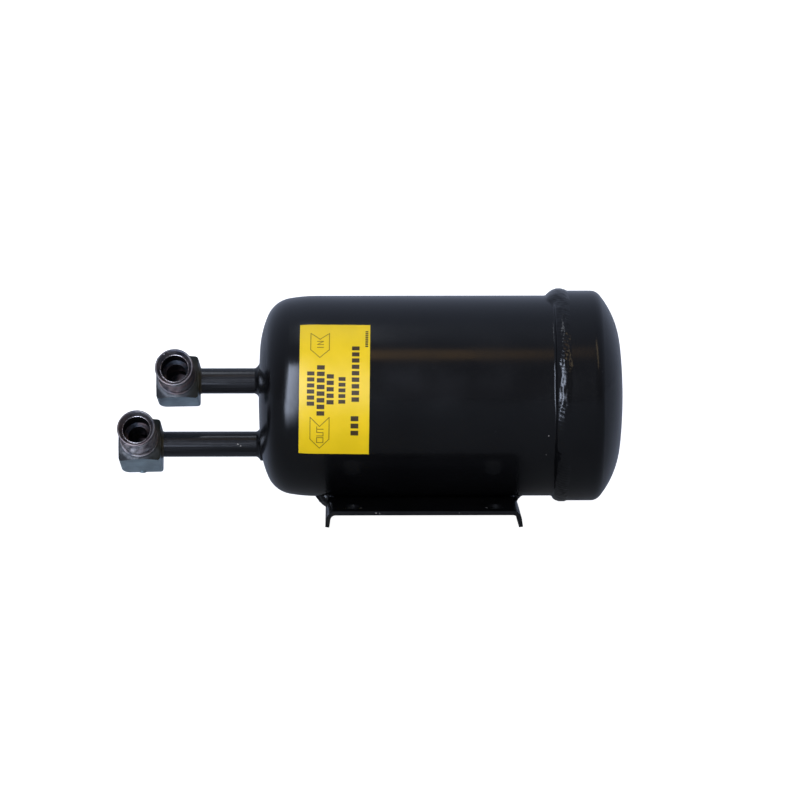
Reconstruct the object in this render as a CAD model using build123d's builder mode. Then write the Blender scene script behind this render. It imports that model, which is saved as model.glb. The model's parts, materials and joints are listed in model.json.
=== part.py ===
"""Welded steel receiver drier on a slotted foot, with two tube ports.

Millimetres. The origin is the centre of the foot's underside, +X runs along the can towards its
welded cap, and +Z is up. The can's axis is parallel to X, straight above the origin's X axis.
"""
from build123d import *
from math import acos, cos, degrees, dist, radians, sin, sqrt, tan
import os

# ------------------------------------------------------------------ driving dimensions
# Drawn can, from the crown of its head to its open rim
can_d = 100.0
can_wall = 2.5
can_straight = 132.0
crown_behind_origin = 81.5
head_ease_r = 79.0
head_ease_angle = 9.9
head_knuckle_r = 14.4
head_knuckle_angle = 65.9
head_shoulder_r = 48.0
head_crown_r = 384.0

# Pressed cap, lapped over the can's rim
cap_wall = 2.3
cap_lap = 11.5
cap_lap_gap = 0.1
cap_skirt = 15.9
cap_corner_r = 5.8
cap_corner_angle = 51.0
cap_shoulder_r = 45.0
cap_crown_r = 228.0

# Circular weld at the cap's rim, with the thicker spot where it starts and ends
weld_on_can = 3.2
weld_on_cap = 3.8
weld_crest = 0.6
weld_root = 1.2
lump_on_can = 6.0
lump_on_cap = 4.6
lump_crest = 1.5
lump_arc = 24.0

# Foot, folded from one sheet
foot_sheet = 2.0
foot_length = 94.4
foot_width = 115.0
foot_bend_r = 2.5
flange_drop = 5.7
flange_lean = 8.0
slot_width = 7.5
slot_length = 16.0
slot_pitch_x = 70.0
slot_pitch_y = 84.0

# Fillet welds between the can and the foot's two ends
foot_weld_arc = 26.0
foot_weld_root = 5.0
head_end_weld_leg = 5.6
head_end_weld_drop = 6.2
head_end_weld_bulge = 0.5
cap_end_weld_leg = 3.2
cap_end_weld_drop = 3.6
cap_end_weld_bulge = -0.7

# Tubes
tube_d = 12.7
tube_wall = 1.2
tube_hole_gap = 0.15
inlet_rise = 7.6
inlet_reach = 40.0
inlet_inside = 9.0
outlet_drop = 24.2
outlet_reach = 59.0
pickup_from_rim = 13.5
pickup_bend_r = 13.0
pickup_end_lift = 4.5

# Elbow fittings
block_width = 20.8
block_height = 21.6
block_front = 8.0
inlet_block_back = 10.0
outlet_block_back = 12.5
block_edge_r = 1.6
block_heel_r = 4.5
tube_side_edge_r = 1.0
face_turned_r = 10.8
face_turned_angle = 30.0
boss_d = 19.05
boss_length = 15.5
boss_chamfer = 0.5
inlet_boss_elevation = 23.5
outlet_boss_elevation = 27.5
boss_toe = 3.5
mouth_rim = 0.35
mouth_depth = 2.9
port_bore_d = 13.6
port_bore_depth = 10.7
port_step_angle = 59.0
passage_d = 10.0
tube_socket = 5.2
socket_gap = 0.1
braze_leg = 2.0
fitting_braze_leg = 1.2
braze_hollow = 0.4

# Filter and desiccant pack
pack_gap = 0.3
screen_sheet = 1.5
screen_bend_r = 2.0
felt_thickness = 6.0
felt_gap = 0.6
bed_length = 80.0
screen_hole_d = 7.0
inner_ring_r = 14.0
inner_ring_count = 5
outer_ring_r = 34.0
outer_ring_count = 12
pickup_gap = 0.4
spring_wire = 3.0
spring_d = 29.0
spring_turns = 3.5
spring_seat_gap = 0.1

# Pick-up strainer
strainer_wall = 0.8
strainer_gap = 0.1
strainer_above_wall = 1.5
strainer_height = 8.4
strainer_window_count = 6
strainer_window_width = 3.4
strainer_window_height = 2.4

# Label
label_width = 34.4
label_height = 69.8
label_middle_angle = 11.5
label_from_crown = 20.6
label_thickness = 0.15

# ------------------------------------------------------------------ worked out from them
can_r = can_d / 2
bore_r = can_r - can_wall
tube_r = tube_d / 2
tube_bore_r = tube_r - tube_wall
axis_z = foot_sheet + can_r
crown_x = -crown_behind_origin
can_axis = Axis((0, 0, axis_z), (1, 0, 0))
side_plane = Plane(origin=(0, 0, axis_z), x_dir=(1, 0, 0), z_dir=(0, -1, 0))


class DishedEnd:
    """A dished head: tangent arcs from its straight side to a crown centred on the axis."""

    def __init__(self, radius, arcs, crown_r):
        """arcs holds each arc's radius and the angle from the radial where it ends."""
        self.radius = radius
        self.depth = 0.0
        self.turns = []
        angle, height = 0.0, radius
        for arc_r, end_angle in arcs[:-1]:
            self._turn(arc_r, angle, end_angle)
            height -= arc_r * (cos(radians(angle)) - cos(radians(end_angle)))
            angle = end_angle
        last_r = arcs[-1][0]
        blend = (height - last_r * cos(radians(angle))) / (crown_r - last_r)
        crown_angle = degrees(acos(blend))
        self._turn(last_r, angle, crown_angle)
        self._turn(crown_r, crown_angle, 90.0)

    def _turn(self, arc_r, start_angle, end_angle):
        self.turns.append((arc_r, end_angle - start_angle))
        self.depth += arc_r * (sin(radians(end_angle)) - sin(radians(start_angle)))

    def outline(self, start_x, tangent_x, towards, inset):
        """Draw the half outline, inset from the outside, and close it along the axis."""
        start = (start_x, self.radius - inset)
        tangent = (tangent_x, self.radius - inset)
        line = Line(start, tangent)
        for arc_r, turn in self.turns:
            line = JernArc(line @ 1, line % 1, arc_r - inset, -towards * turn)
        Polyline(line @ 1, (start_x, 0), start)


can_head = DishedEnd(
    can_r,
    ((head_ease_r, head_ease_angle), (head_knuckle_r, head_knuckle_angle), (head_shoulder_r, None)),
    head_crown_r,
)
cap_outer_r = can_r + cap_lap_gap + cap_wall
cap_head = DishedEnd(
    cap_outer_r, ((cap_corner_r, cap_corner_angle), (cap_shoulder_r, None)), cap_crown_r
)
head_x = crown_x + can_head.depth
rim_x = head_x + can_straight
cap_rim_x = rim_x - cap_lap
cap_tangent_x = cap_rim_x + cap_skirt
cap_crown_x = cap_tangent_x + cap_head.depth

os.makedirs("parts", exist_ok=True)


def save(builder, name):
    """Label a finished piece and write it as one STEP file."""
    builder.part.label = name
    export_step(builder.part, f"parts/{name}.step")


inlet_z = axis_z + inlet_rise
outlet_z = axis_z - outlet_drop

# ------------------------------------------------------------------ can and cap
with BuildPart() as can_body:
    with BuildSketch(side_plane):
        with BuildLine():
            can_head.outline(rim_x, head_x, -1, 0)
        make_face()
    revolve(axis=can_axis)

with BuildPart() as shell:
    add(can_body.part)
    with BuildSketch(side_plane):
        with BuildLine():
            can_head.outline(rim_x, head_x, -1, can_wall)
        make_face()
    revolve(axis=can_axis, mode=Mode.SUBTRACT)
    for tube_z in (inlet_z, outlet_z):
        with BuildSketch(Plane.YZ.offset(crown_x)):
            with Locations((0, tube_z)):
                Circle(tube_r + tube_hole_gap)
        extrude(amount=can_head.depth, mode=Mode.SUBTRACT)
save(shell, "shell")

with BuildPart() as end_cap:
    with BuildSketch(side_plane):
        with BuildLine():
            cap_head.outline(cap_rim_x, cap_tangent_x, 1, 0)
        make_face()
        with BuildLine():
            cap_head.outline(cap_rim_x, cap_tangent_x, 1, cap_wall)
        make_face(mode=Mode.SUBTRACT)
    revolve(axis=can_axis)
save(end_cap, "end_cap")


def draw_bead(on_can, on_cap, crest):
    """Draw a lap weld's section: over the can, up the cap's rim and onto its skirt."""
    toe = (cap_rim_x - on_can, can_r)
    lip = (cap_rim_x + on_cap, cap_outer_r)
    top = ((toe[0] + lip[0]) / 2 + weld_root / 2, cap_outer_r + crest)
    Polyline(toe, (cap_rim_x, can_r), (cap_rim_x, cap_outer_r), lip)
    ThreePointArc(lip, top, toe)


with BuildPart() as cap_weld:
    with BuildSketch(side_plane):
        with BuildLine():
            draw_bead(weld_on_can, weld_on_cap, weld_crest)
        make_face()
    revolve(axis=can_axis)
    with BuildSketch(side_plane.rotated((-lump_arc / 2, 0, 0))):
        with BuildLine():
            draw_bead(lump_on_can, lump_on_cap, lump_crest)
        make_face()
    revolve(axis=can_axis, revolution_arc=lump_arc)
save(cap_weld, "cap_weld")

# ------------------------------------------------------------------ foot and its welds
flange_run = (flange_drop + foot_sheet) * tan(radians(flange_lean))

with BuildPart() as mounting_foot:
    with BuildSketch(Plane.XZ):
        with BuildLine():
            FilletPolyline(
                (-foot_length / 2 - flange_run, -flange_drop),
                (-foot_length / 2, foot_sheet),
                (foot_length / 2, foot_sheet),
                (foot_length / 2 + flange_run, -flange_drop),
                radius=foot_bend_r + foot_sheet,
            )
            offset(amount=foot_sheet, side=Side.RIGHT)
        make_face()
    extrude(amount=foot_width / 2, both=True)
    with BuildSketch(Plane.XY):
        with GridLocations(slot_pitch_x, slot_pitch_y, 2, 2):
            SlotOverall(slot_length, slot_width, rotation=90)
    extrude(amount=foot_sheet, mode=Mode.SUBTRACT)
save(mounting_foot, "mounting_foot")


def foot_weld(side, leg, drop, bulge):
    """Fill the corner between the can's belly and one end of the foot, along the can's curve."""
    root_x = side * (foot_length / 2 - foot_weld_root)
    face_x = side * foot_length / 2
    bend_low = (face_x, -can_r - foot_bend_r - foot_sheet)
    toe = (face_x + side * leg, -can_r)
    low = (face_x, -can_r - drop)
    middle = ((toe[0] + low[0]) / 2 + side * bulge, (toe[1] + low[1]) / 2 - bulge)
    with BuildPart() as weld:
        with BuildSketch(side_plane.rotated((-foot_weld_arc / 2, 0, 0))):
            with BuildLine():
                Polyline(low, bend_low, (root_x, -can_r), toe)
                ThreePointArc(toe, middle, low)
            make_face()
        revolve(axis=can_axis, revolution_arc=foot_weld_arc)
        add(mounting_foot.part, mode=Mode.SUBTRACT)
    return weld


save(foot_weld(-1, head_end_weld_leg, head_end_weld_drop, head_end_weld_bulge), "head_end_foot_weld")
save(foot_weld(1, cap_end_weld_leg, cap_end_weld_drop, cap_end_weld_bulge), "cap_end_foot_weld")

# ------------------------------------------------------------------ elbow fittings
toe = radians(boss_toe)
port_bore_r = port_bore_d / 2
passage_r = passage_d / 2
mouth_r = boss_d / 2 - boss_chamfer - mouth_rim


def fitting_plane(tube_z, reach, elevation):
    """Give the plane through a block's centre, on the tube's axis, that faces along its boss."""
    lift = radians(elevation)
    boss_out = Vector(-sin(toe), -cos(toe) * cos(lift), cos(toe) * sin(lift))
    block_across = Vector(cos(toe), -sin(toe) * cos(lift), sin(toe) * sin(lift))
    return Plane(origin=(crown_x - reach, 0, tube_z), x_dir=block_across, z_dir=boss_out)


def elbow_block(plane, back):
    """Make a block with a rounded heel and a turned front, and its boss, before drilling."""
    with BuildPart() as block:
        with BuildSketch(plane.offset(-back)):
            Rectangle(block_width, block_height)
        extrude(amount=back + block_front)
        upright = block.edges().filter_by(Axis(plane.origin, plane.y_dir))
        rear = upright.sort_by(Axis(plane.origin, plane.z_dir))[:2]
        heel, tube_side = rear.sort_by(Axis(plane.origin, plane.x_dir))
        fillet(heel, block_heel_r)
        fillet(tube_side, tube_side_edge_r)
        fillet(block.edges().filter_by(Axis(plane.origin, plane.z_dir)), block_edge_r)
        corner_r = sqrt(block_width**2 + block_height**2) / 2
        fall = (corner_r - face_turned_r) * tan(radians(face_turned_angle))
        with BuildSketch(Plane(origin=plane.origin, x_dir=plane.x_dir, z_dir=-plane.y_dir)):
            with BuildLine():
                Polyline(
                    (0, -back), (corner_r, -back), (corner_r, block_front - fall),
                    (face_turned_r, block_front), (0, block_front), (0, -back),
                )
            make_face()
        revolve(axis=Axis(plane.origin, plane.z_dir), mode=Mode.INTERSECT)
        with BuildSketch(plane.offset(block_front)):
            Circle(boss_d / 2)
        extrude(amount=boss_length)
        chamfer(block.faces().sort_by(Axis(plane.origin, plane.z_dir))[-1].edges(), boss_chamfer)
    return block


def elbow_fitting(plane, back):
    """Drill the stepped port, the passage and the tube's socket into a block."""
    mouth = block_front + boss_length
    with BuildPart() as fitting:
        add(elbow_block(plane, back).part)
        step_depth = (port_bore_r - passage_r) / tan(radians(port_step_angle))
        with BuildSketch(Plane(origin=plane.origin, x_dir=plane.x_dir, z_dir=-plane.y_dir)):
            with BuildLine():
                Polyline(
                    (0, -passage_r), (passage_r, -passage_r),
                    (passage_r, mouth - port_bore_depth - step_depth),
                    (port_bore_r, mouth - port_bore_depth),
                    (port_bore_r, mouth - mouth_depth), (mouth_r, mouth), (0, mouth), (0, -passage_r),
                )
            make_face()
        revolve(axis=Axis(plane.origin, plane.z_dir), mode=Mode.SUBTRACT)
        with BuildSketch(Plane.YZ.offset(plane.origin.X)):
            with Locations((0, plane.origin.Z)):
                Circle(tube_bore_r)
        extrude(amount=block_width, mode=Mode.SUBTRACT)
        with BuildSketch(Plane.YZ.offset(plane.origin.X + tube_socket)):
            with Locations((0, plane.origin.Z)):
                Circle(tube_r + socket_gap)
        extrude(amount=block_width, mode=Mode.SUBTRACT)
    return fitting


inlet_plane = fitting_plane(inlet_z, inlet_reach, inlet_boss_elevation)
outlet_plane = fitting_plane(outlet_z, outlet_reach, outlet_boss_elevation)
save(elbow_fitting(inlet_plane, inlet_block_back), "inlet_fitting")
save(elbow_fitting(outlet_plane, outlet_block_back), "outlet_fitting")

# ------------------------------------------------------------------ tubes and their brazes
with BuildPart() as inlet_tube:
    with BuildSketch(Plane.YZ.offset(inlet_plane.origin.X + tube_socket)):
        with Locations((0, inlet_z)):
            Circle(tube_r)
            Circle(tube_bore_r, mode=Mode.SUBTRACT)
    extrude(amount=inlet_reach - tube_socket + inlet_inside)
save(inlet_tube, "inlet_tube")

pickup_x = rim_x - pickup_from_rim
strainer_z = axis_z - bore_r + strainer_above_wall
pickup_end_z = strainer_z + strainer_wall + pickup_end_lift

with BuildPart() as outlet_tube:
    with BuildLine():
        route = FilletPolyline(
            (outlet_plane.origin.X + tube_socket, 0, outlet_z),
            (pickup_x, 0, outlet_z),
            (pickup_x, 0, pickup_end_z),
            radius=pickup_bend_r,
        )
    with BuildSketch(Plane(origin=route @ 0, z_dir=route % 0)):
        Circle(tube_r)
        Circle(tube_bore_r, mode=Mode.SUBTRACT)
    sweep(path=route)
save(outlet_tube, "outlet_tube")


def braze_ring(face_x, tube_z, leg, backing):
    """Lay a hollow fillet round a tube, on the face of the solid that the tube goes into."""
    ring_plane = Plane(origin=(face_x, 0, tube_z), x_dir=(1, 0, 0), z_dir=(0, -1, 0))
    away = 1 if backing.center().X < face_x else -1
    with BuildPart() as ring:
        with BuildSketch(ring_plane):
            with BuildLine():
                foot_point = (0, tube_r + leg)
                tip_point = (away * leg, tube_r)
                Polyline(tip_point, (-away * leg, tube_r), (-away * leg, tube_r + leg), foot_point)
                hollow = (away * leg * braze_hollow, tube_r + leg * braze_hollow)
                ThreePointArc(foot_point, hollow, tip_point)
            make_face()
        revolve(axis=Axis(ring_plane.origin, (1, 0, 0)))
        add(backing, mode=Mode.SUBTRACT)
    return ring


def crown_face_x(height):
    """Give x on the can's crown at a height from its axis."""
    return crown_x + head_crown_r - sqrt(head_crown_r**2 - height**2)


inlet_block = elbow_block(inlet_plane, inlet_block_back).part
outlet_block = elbow_block(outlet_plane, outlet_block_back).part
block_side = block_width / 2 / cos(toe)
save(braze_ring(crown_face_x(inlet_rise), inlet_z, braze_leg, can_body.part), "inlet_head_braze")
save(braze_ring(crown_face_x(outlet_drop), outlet_z, braze_leg, can_body.part), "outlet_head_braze")
save(
    braze_ring(inlet_plane.origin.X + block_side, inlet_z, fitting_braze_leg, inlet_block),
    "inlet_fitting_braze",
)
save(
    braze_ring(outlet_plane.origin.X + block_side, outlet_z, fitting_braze_leg, outlet_block),
    "outlet_fitting_braze",
)

# ------------------------------------------------------------------ filter and desiccant pack
screen_r = bore_r - pack_gap
ease_centre_r = can_r - head_ease_r
jam = sqrt((head_ease_r - can_wall) ** 2 - (screen_r - ease_centre_r) ** 2)
inlet_screen_x = head_x - jam
screen_rim = screen_sheet + felt_thickness
bed_x = inlet_screen_x + screen_rim
outlet_screen_x = bed_x + bed_length + screen_rim
pickup_hole_r = tube_r + pickup_gap


def screen_holes():
    """List the perforations' centres, leaving out those that the pick-up tube's hole takes."""
    clear_of_tube = pickup_hole_r + screen_hole_d
    centres = []
    for ring_r, count in ((inner_ring_r, inner_ring_count), (outer_ring_r, outer_ring_count)):
        for index in range(count):
            angle = radians(index * 360 / count - 90)
            centre = (ring_r * cos(angle), axis_z + ring_r * sin(angle))
            if dist(centre, (0, outlet_z)) > clear_of_tube:
                centres.append(centre)
    return centres


def pressed_screen(face_x, towards):
    """Press a perforated cup whose rim holds a felt pad, with a hole for the pick-up tube."""
    with BuildPart() as screen:
        with BuildSketch(side_plane):
            with BuildLine():
                FilletPolyline(
                    (face_x, 0), (face_x, screen_r), (face_x + towards * screen_rim, screen_r),
                    radius=screen_bend_r,
                )
                offset(amount=screen_sheet, side=Side.RIGHT if towards > 0 else Side.LEFT)
            make_face()
        revolve(axis=can_axis)
        with BuildSketch(Plane.YZ.offset(face_x)):
            with Locations((0, outlet_z)):
                Circle(pickup_hole_r)
            with Locations(*screen_holes()):
                Circle(screen_hole_d / 2)
        extrude(amount=towards * screen_sheet, mode=Mode.SUBTRACT)
    return screen


def pack_disc(start_x, radius, length):
    """Make a plain disc or cylinder of the pack, with the pick-up tube's hole through it."""
    with BuildPart() as disc:
        with BuildSketch(Plane.YZ.offset(start_x)):
            with Locations((0, axis_z)):
                Circle(radius)
            with Locations((0, outlet_z)):
                Circle(pickup_hole_r, mode=Mode.SUBTRACT)
        extrude(amount=length)
    return disc


felt_r = screen_r - screen_sheet - felt_gap
save(pressed_screen(inlet_screen_x, 1), "inlet_screen")
save(pack_disc(inlet_screen_x + screen_sheet, felt_r, felt_thickness), "inlet_felt")
save(pack_disc(bed_x, screen_r, bed_length), "desiccant_bed")
save(pack_disc(bed_x + bed_length, felt_r, felt_thickness), "outlet_felt")
save(pressed_screen(outlet_screen_x, -1), "outlet_screen")

spring_r = spring_d / 2
cap_bore_crown_r = cap_crown_r - cap_wall
cap_seat_x = cap_crown_x - cap_wall - cap_bore_crown_r + sqrt(cap_bore_crown_r**2 - spring_r**2)
spring_inset = spring_wire / 2 + spring_seat_gap
spring_start = outlet_screen_x + spring_inset
spring_length = cap_seat_x - spring_inset - spring_start

with BuildPart() as pack_spring:
    with BuildLine():
        coil = Helix(
            pitch=spring_length / spring_turns,
            height=spring_length,
            radius=spring_r,
            center=(spring_start, 0, axis_z),
            direction=(1, 0, 0),
        )
    with BuildSketch(Plane(origin=coil @ 0, z_dir=coil % 0)):
        Circle(spring_wire / 2)
    sweep(path=coil, is_frenet=True)
save(pack_spring, "pack_spring")

strainer_r = tube_r + strainer_gap + strainer_wall
strainer_plane = Plane(origin=(pickup_x, 0, strainer_z))

with BuildPart() as pickup_strainer:
    with BuildSketch(strainer_plane):
        Circle(strainer_r)
    extrude(amount=strainer_height)
    with BuildSketch(strainer_plane.offset(strainer_wall)):
        Circle(strainer_r - strainer_wall)
    extrude(amount=strainer_height, mode=Mode.SUBTRACT)
    with BuildSketch(strainer_plane.offset(strainer_wall)):
        with PolarLocations(strainer_r, strainer_window_count):
            Rectangle(strainer_r, strainer_window_width)
    extrude(amount=strainer_window_height, mode=Mode.SUBTRACT)
save(pickup_strainer, "pickup_strainer")

# ------------------------------------------------------------------ label
label_arc = degrees(label_height / can_r)
label_start = 90 - label_middle_angle - label_arc / 2

with BuildPart() as label:
    with BuildSketch(side_plane.rotated((label_start, 0, 0))):
        with BuildLine():
            can_head.outline(rim_x, head_x, -1, -label_thickness)
        make_face()
        with BuildLine():
            can_head.outline(rim_x, head_x, -1, 0)
        make_face(mode=Mode.SUBTRACT)
        with Locations((crown_x + label_from_crown + label_width / 2, can_r)):
            Rectangle(label_width, can_r, mode=Mode.INTERSECT)
    revolve(axis=can_axis, revolution_arc=label_arc)
save(label, "label")
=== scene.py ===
"""Dresses the packed receiver drier: paint, welds, threaded ports, label and a plain studio."""

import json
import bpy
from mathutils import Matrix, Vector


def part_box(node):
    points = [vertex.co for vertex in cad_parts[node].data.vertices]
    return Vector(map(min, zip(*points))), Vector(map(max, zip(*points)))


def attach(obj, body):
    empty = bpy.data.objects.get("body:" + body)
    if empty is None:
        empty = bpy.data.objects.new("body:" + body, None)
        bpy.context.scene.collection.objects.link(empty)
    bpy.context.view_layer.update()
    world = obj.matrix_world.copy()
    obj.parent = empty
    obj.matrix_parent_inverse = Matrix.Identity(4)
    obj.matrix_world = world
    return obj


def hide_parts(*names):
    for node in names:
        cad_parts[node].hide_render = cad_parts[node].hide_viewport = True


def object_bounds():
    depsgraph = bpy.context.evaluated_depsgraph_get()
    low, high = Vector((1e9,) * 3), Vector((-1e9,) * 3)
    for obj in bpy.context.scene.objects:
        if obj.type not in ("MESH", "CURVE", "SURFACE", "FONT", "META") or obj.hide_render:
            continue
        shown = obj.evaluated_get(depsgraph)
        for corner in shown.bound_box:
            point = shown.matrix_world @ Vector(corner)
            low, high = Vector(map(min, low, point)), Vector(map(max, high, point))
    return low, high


bl_info = {
    "name": "Receiver Drier",
    "version": (1, 0, 0),
    "blender": (4, 5, 0),
    "location": "View3D > Sidebar > Receiver Drier",
    "description": "Paints and details a welded receiver drier and lights it in a plain studio",
    "category": "Object",
}

from collections import namedtuple

import bmesh
import bpy
import numpy as np
from bpy.props import FloatProperty, FloatVectorProperty, PointerProperty
from mathutils import Vector

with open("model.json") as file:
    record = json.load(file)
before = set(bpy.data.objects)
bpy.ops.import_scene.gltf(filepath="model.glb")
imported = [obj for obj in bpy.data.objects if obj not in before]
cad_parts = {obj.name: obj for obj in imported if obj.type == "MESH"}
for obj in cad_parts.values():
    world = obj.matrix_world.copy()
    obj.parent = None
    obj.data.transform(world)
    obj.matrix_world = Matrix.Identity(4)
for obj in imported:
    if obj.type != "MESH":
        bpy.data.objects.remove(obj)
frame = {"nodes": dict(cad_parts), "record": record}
CAD_BOX = [list(corner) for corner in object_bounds()]
MM = 0.001
MICRON = 0.001 * MM
SAME_PLACE = 0.1 * MICRON
BODY = "root"

SHELL_LOW, SHELL_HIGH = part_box("shell")
CAP_LOW, CAP_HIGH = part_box("end_cap")
FOOT_LOW, FOOT_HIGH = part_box("mounting_foot")
CAN_RADIUS = (SHELL_HIGH.y - SHELL_LOW.y) / 2
CAP_RADIUS = (CAP_HIGH.y - CAP_LOW.y) / 2
AXIS_Z = (SHELL_HIGH.z + SHELL_LOW.z) / 2
CAP_RIM_X = CAP_LOW.x
MOUNTS = {mount["name"]: mount for mount in frame["record"]["mounts"]}


# ------------------------------------------------------------------ meshes
def wobble(u, v, seed, waves, low, high):
    """Sum of plane sine waves over u and v, with seeded directions, rates and phases, about -1 to 1."""
    rng = np.random.default_rng(seed)
    total = np.zeros(np.broadcast(u, v).shape)
    for _ in range(waves):
        rate = rng.uniform(low, high)
        turn = rng.uniform(0, np.pi)
        phase = rng.uniform(0, 2 * np.pi)
        total += np.sin(rate * (np.cos(turn) * u + np.sin(turn) * v) + phase)
    return total / np.sqrt(waves)


def grid_faces(rows, columns, wrap_rows=False, wrap_columns=False):
    """Quads between neighbours of a rows by columns grid, joined end to start where wrapped."""
    i = np.arange(rows if wrap_rows else rows - 1)[:, None]
    j = np.arange(columns if wrap_columns else columns - 1)[None, :]
    next_i, next_j = (i + 1) % rows, (j + 1) % columns
    corners = (i * columns + j, next_i * columns + j, next_i * columns + next_j, i * columns + next_j)
    return np.stack([np.broadcast_to(c, (i.size, j.size)).ravel() for c in corners], axis=1)


def face_normals(points, quads):
    """Cross product of each quad's diagonals, which is twice its area along its normal."""
    a, b, c, d = (points[quads[:, k]] for k in range(4))
    return np.cross(c - a, d - b)


def turned_out(points, quads, hearts=None):
    """The same quads, all turned round if most of their area looks towards the hearts.

    The hearts are a point inside the shape for each face, or its middle where none are given.
    """
    hearts = points.mean(axis=0) if hearts is None else hearts
    away = points[quads].mean(axis=1) - hearts
    return quads if (face_normals(points, quads) * away).sum() > 0 else quads[:, ::-1]


def slab(top, bottom):
    """A closed slab from two grids of the same shape: both grids and the four edge strips."""
    rows, columns = top.shape[:2]
    points = np.concatenate([top.reshape(-1, 3), bottom.reshape(-1, 3)])
    over = grid_faces(rows, columns)
    drop = rows * columns
    under = over[:, ::-1] + drop
    index = np.arange(drop).reshape(rows, columns)
    rim = np.concatenate([index[0, :-1], index[:-1, -1], index[-1, :0:-1], index[:0:-1, 0]])
    after = np.roll(rim, -1)
    sides = np.stack([rim, after, after + drop, rim + drop], axis=1)
    return points, turned_out(points, np.concatenate([over, under, sides]))


def tube_of_rings(rings):
    """Skin over rings of points: quads along and around, closed where the given end rings are single
    points.
    """
    count, around = rings.shape[:2]
    points = rings.reshape(-1, 3)
    return points, turned_out(points, grid_faces(count, around, wrap_columns=True))


def joined(parts):
    """One list of points and faces from several, each part's faces moved up by the points before it."""
    points, faces, first = [], [], 0
    for part_points, part_faces in parts:
        points.append(part_points)
        faces.extend((np.asarray(part_faces) + first).tolist())
        first += len(part_points)
    return np.concatenate(points), faces


def linked(name, data):
    """A new object in the scene that shows this data."""
    thing = bpy.data.objects.new(name, data)
    bpy.context.scene.collection.objects.link(thing)
    return thing


def add_piece(name, points, faces, materials, slot, stands_for=(), crease=35.0, zones=None):
    """Makes a mesh object at the origin, smooth except where faces turn by more than the crease.

    Zones, where they are given, hold each face's place in the list of materials. Points that
    share a place become one, which closes the poles and the seams between skins.
    """
    mesh = bpy.data.meshes.new(name)
    mesh.from_pydata(np.asarray(points).tolist(), [], [tuple(face) for face in faces])
    for material in materials if isinstance(materials, list) else [materials]:
        mesh.materials.append(material)
    if zones is not None:
        mesh.polygons.foreach_set("material_index", np.asarray(zones, dtype=np.int32))
    skin = bmesh.new()
    skin.from_mesh(mesh)
    bmesh.ops.remove_doubles(skin, verts=skin.verts, dist=SAME_PLACE)
    skin.to_mesh(mesh)
    skin.free()
    mesh.polygons.foreach_set("use_smooth", np.ones(len(mesh.polygons), dtype=bool))
    mesh.set_sharp_from_angle(angle=np.radians(crease))
    mesh.update()
    piece = linked(name, mesh)
    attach(piece, BODY)
    if stands_for:
        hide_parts(*stands_for)
    return piece


def finish_node(name, material):
    """Gives a solid that keeps its own shape a finished material."""
    node = frame["nodes"][name]
    for slot in node.material_slots:
        slot.material = material
    if not node.material_slots:
        node.data.materials.append(material)


# ------------------------------------------------------------------ material nodes
EVEN = (1, 1, 1)
ALONG_X = (0.02, 1, 1)
WHITE = (1.0, 1.0, 1.0, 1.0)

# Noise seldom leaves this range
NOISE_LOW, NOISE_HIGH = 0.35, 0.65


def add_node(tree, kind, inputs=None, **settings):
    """Adds a node, sets its own settings, and sets or links each input."""
    node = tree.nodes.new(kind)
    for key, value in settings.items():
        setattr(node, key, value)
    for key, value in (inputs or {}).items():
        if isinstance(value, bpy.types.NodeSocket):
            tree.links.new(value, node.inputs[key])
        else:
            node.inputs[key].default_value = value
    return node


def math_node(tree, operation, *values, clamp=False):
    """The result of one Math node on its values, each a socket or a number."""
    return add_node(tree, "ShaderNodeMath", dict(enumerate(values)), operation=operation,
                    use_clamp=clamp).outputs[0]


def vector_node(tree, operation, first, second, output="Vector"):
    """One output of a Vector Math node on two vectors."""
    return add_node(tree, "ShaderNodeVectorMath", {0: first, 1: second},
                    operation=operation).outputs[output]


def object_place(tree):
    """The shaded point's place in its own object."""
    return add_node(tree, "ShaderNodeTexCoord").outputs["Object"]


def noise_node(tree, place, scale, detail=2.0):
    """Noise of about 0 to 1, of a given scale, with a given detail on top."""
    return add_node(tree, "ShaderNodeTexNoise", {
        "Vector": place, "Scale": scale, "Detail": detail}).outputs["Fac"]


def range_node(tree, value, from_low, from_high, to_low=0.0, to_high=1.0):
    """A value carried in proportion from one range onto another, and held inside it."""
    return add_node(tree, "ShaderNodeMapRange", {
        "Value": value, "From Min": from_low, "From Max": from_high, "To Min": to_low,
        "To Max": to_high}).outputs["Result"]


def ragged(tree, value, place, scale, detail, depth):
    """A value roughened by noise: the noise less a half, times the depth, is added to it."""
    centred = math_node(tree, "SUBTRACT", noise_node(tree, place, scale, detail), 0.5)
    return math_node(tree, "MULTIPLY_ADD", centred, depth, value)


def new_group(name, output, kind, **inputs):
    """An empty node group: its tree, the sockets it is given, and the socket of its one output."""
    tree = bpy.data.node_groups.new(name, "ShaderNodeTree")
    for socket_name, socket_kind in inputs.items():
        tree.interface.new_socket(socket_name, in_out="INPUT",
                                  socket_type="NodeSocket" + socket_kind)
    tree.interface.new_socket(output, in_out="OUTPUT", socket_type="NodeSocket" + kind)
    given = tree.nodes.new("NodeGroupInput").outputs
    return tree, given, tree.nodes.new("NodeGroupOutput").inputs[output]


def grain_group():
    """Value between Low and High that follows fine noise, stretched along the axes by Stretch."""
    tree, given, result = new_group(
        "Grain", "Value", "Float", Scale="Float", Detail="Float", Low="Float", High="Float",
        Stretch="Vector")
    drawn = vector_node(tree, "MULTIPLY", object_place(tree), given["Stretch"])
    noise = noise_node(tree, drawn, given["Scale"], given["Detail"])
    value = range_node(tree, noise, NOISE_LOW, NOISE_HIGH, given["Low"], given["High"])
    tree.links.new(value, result)
    return tree


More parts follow.
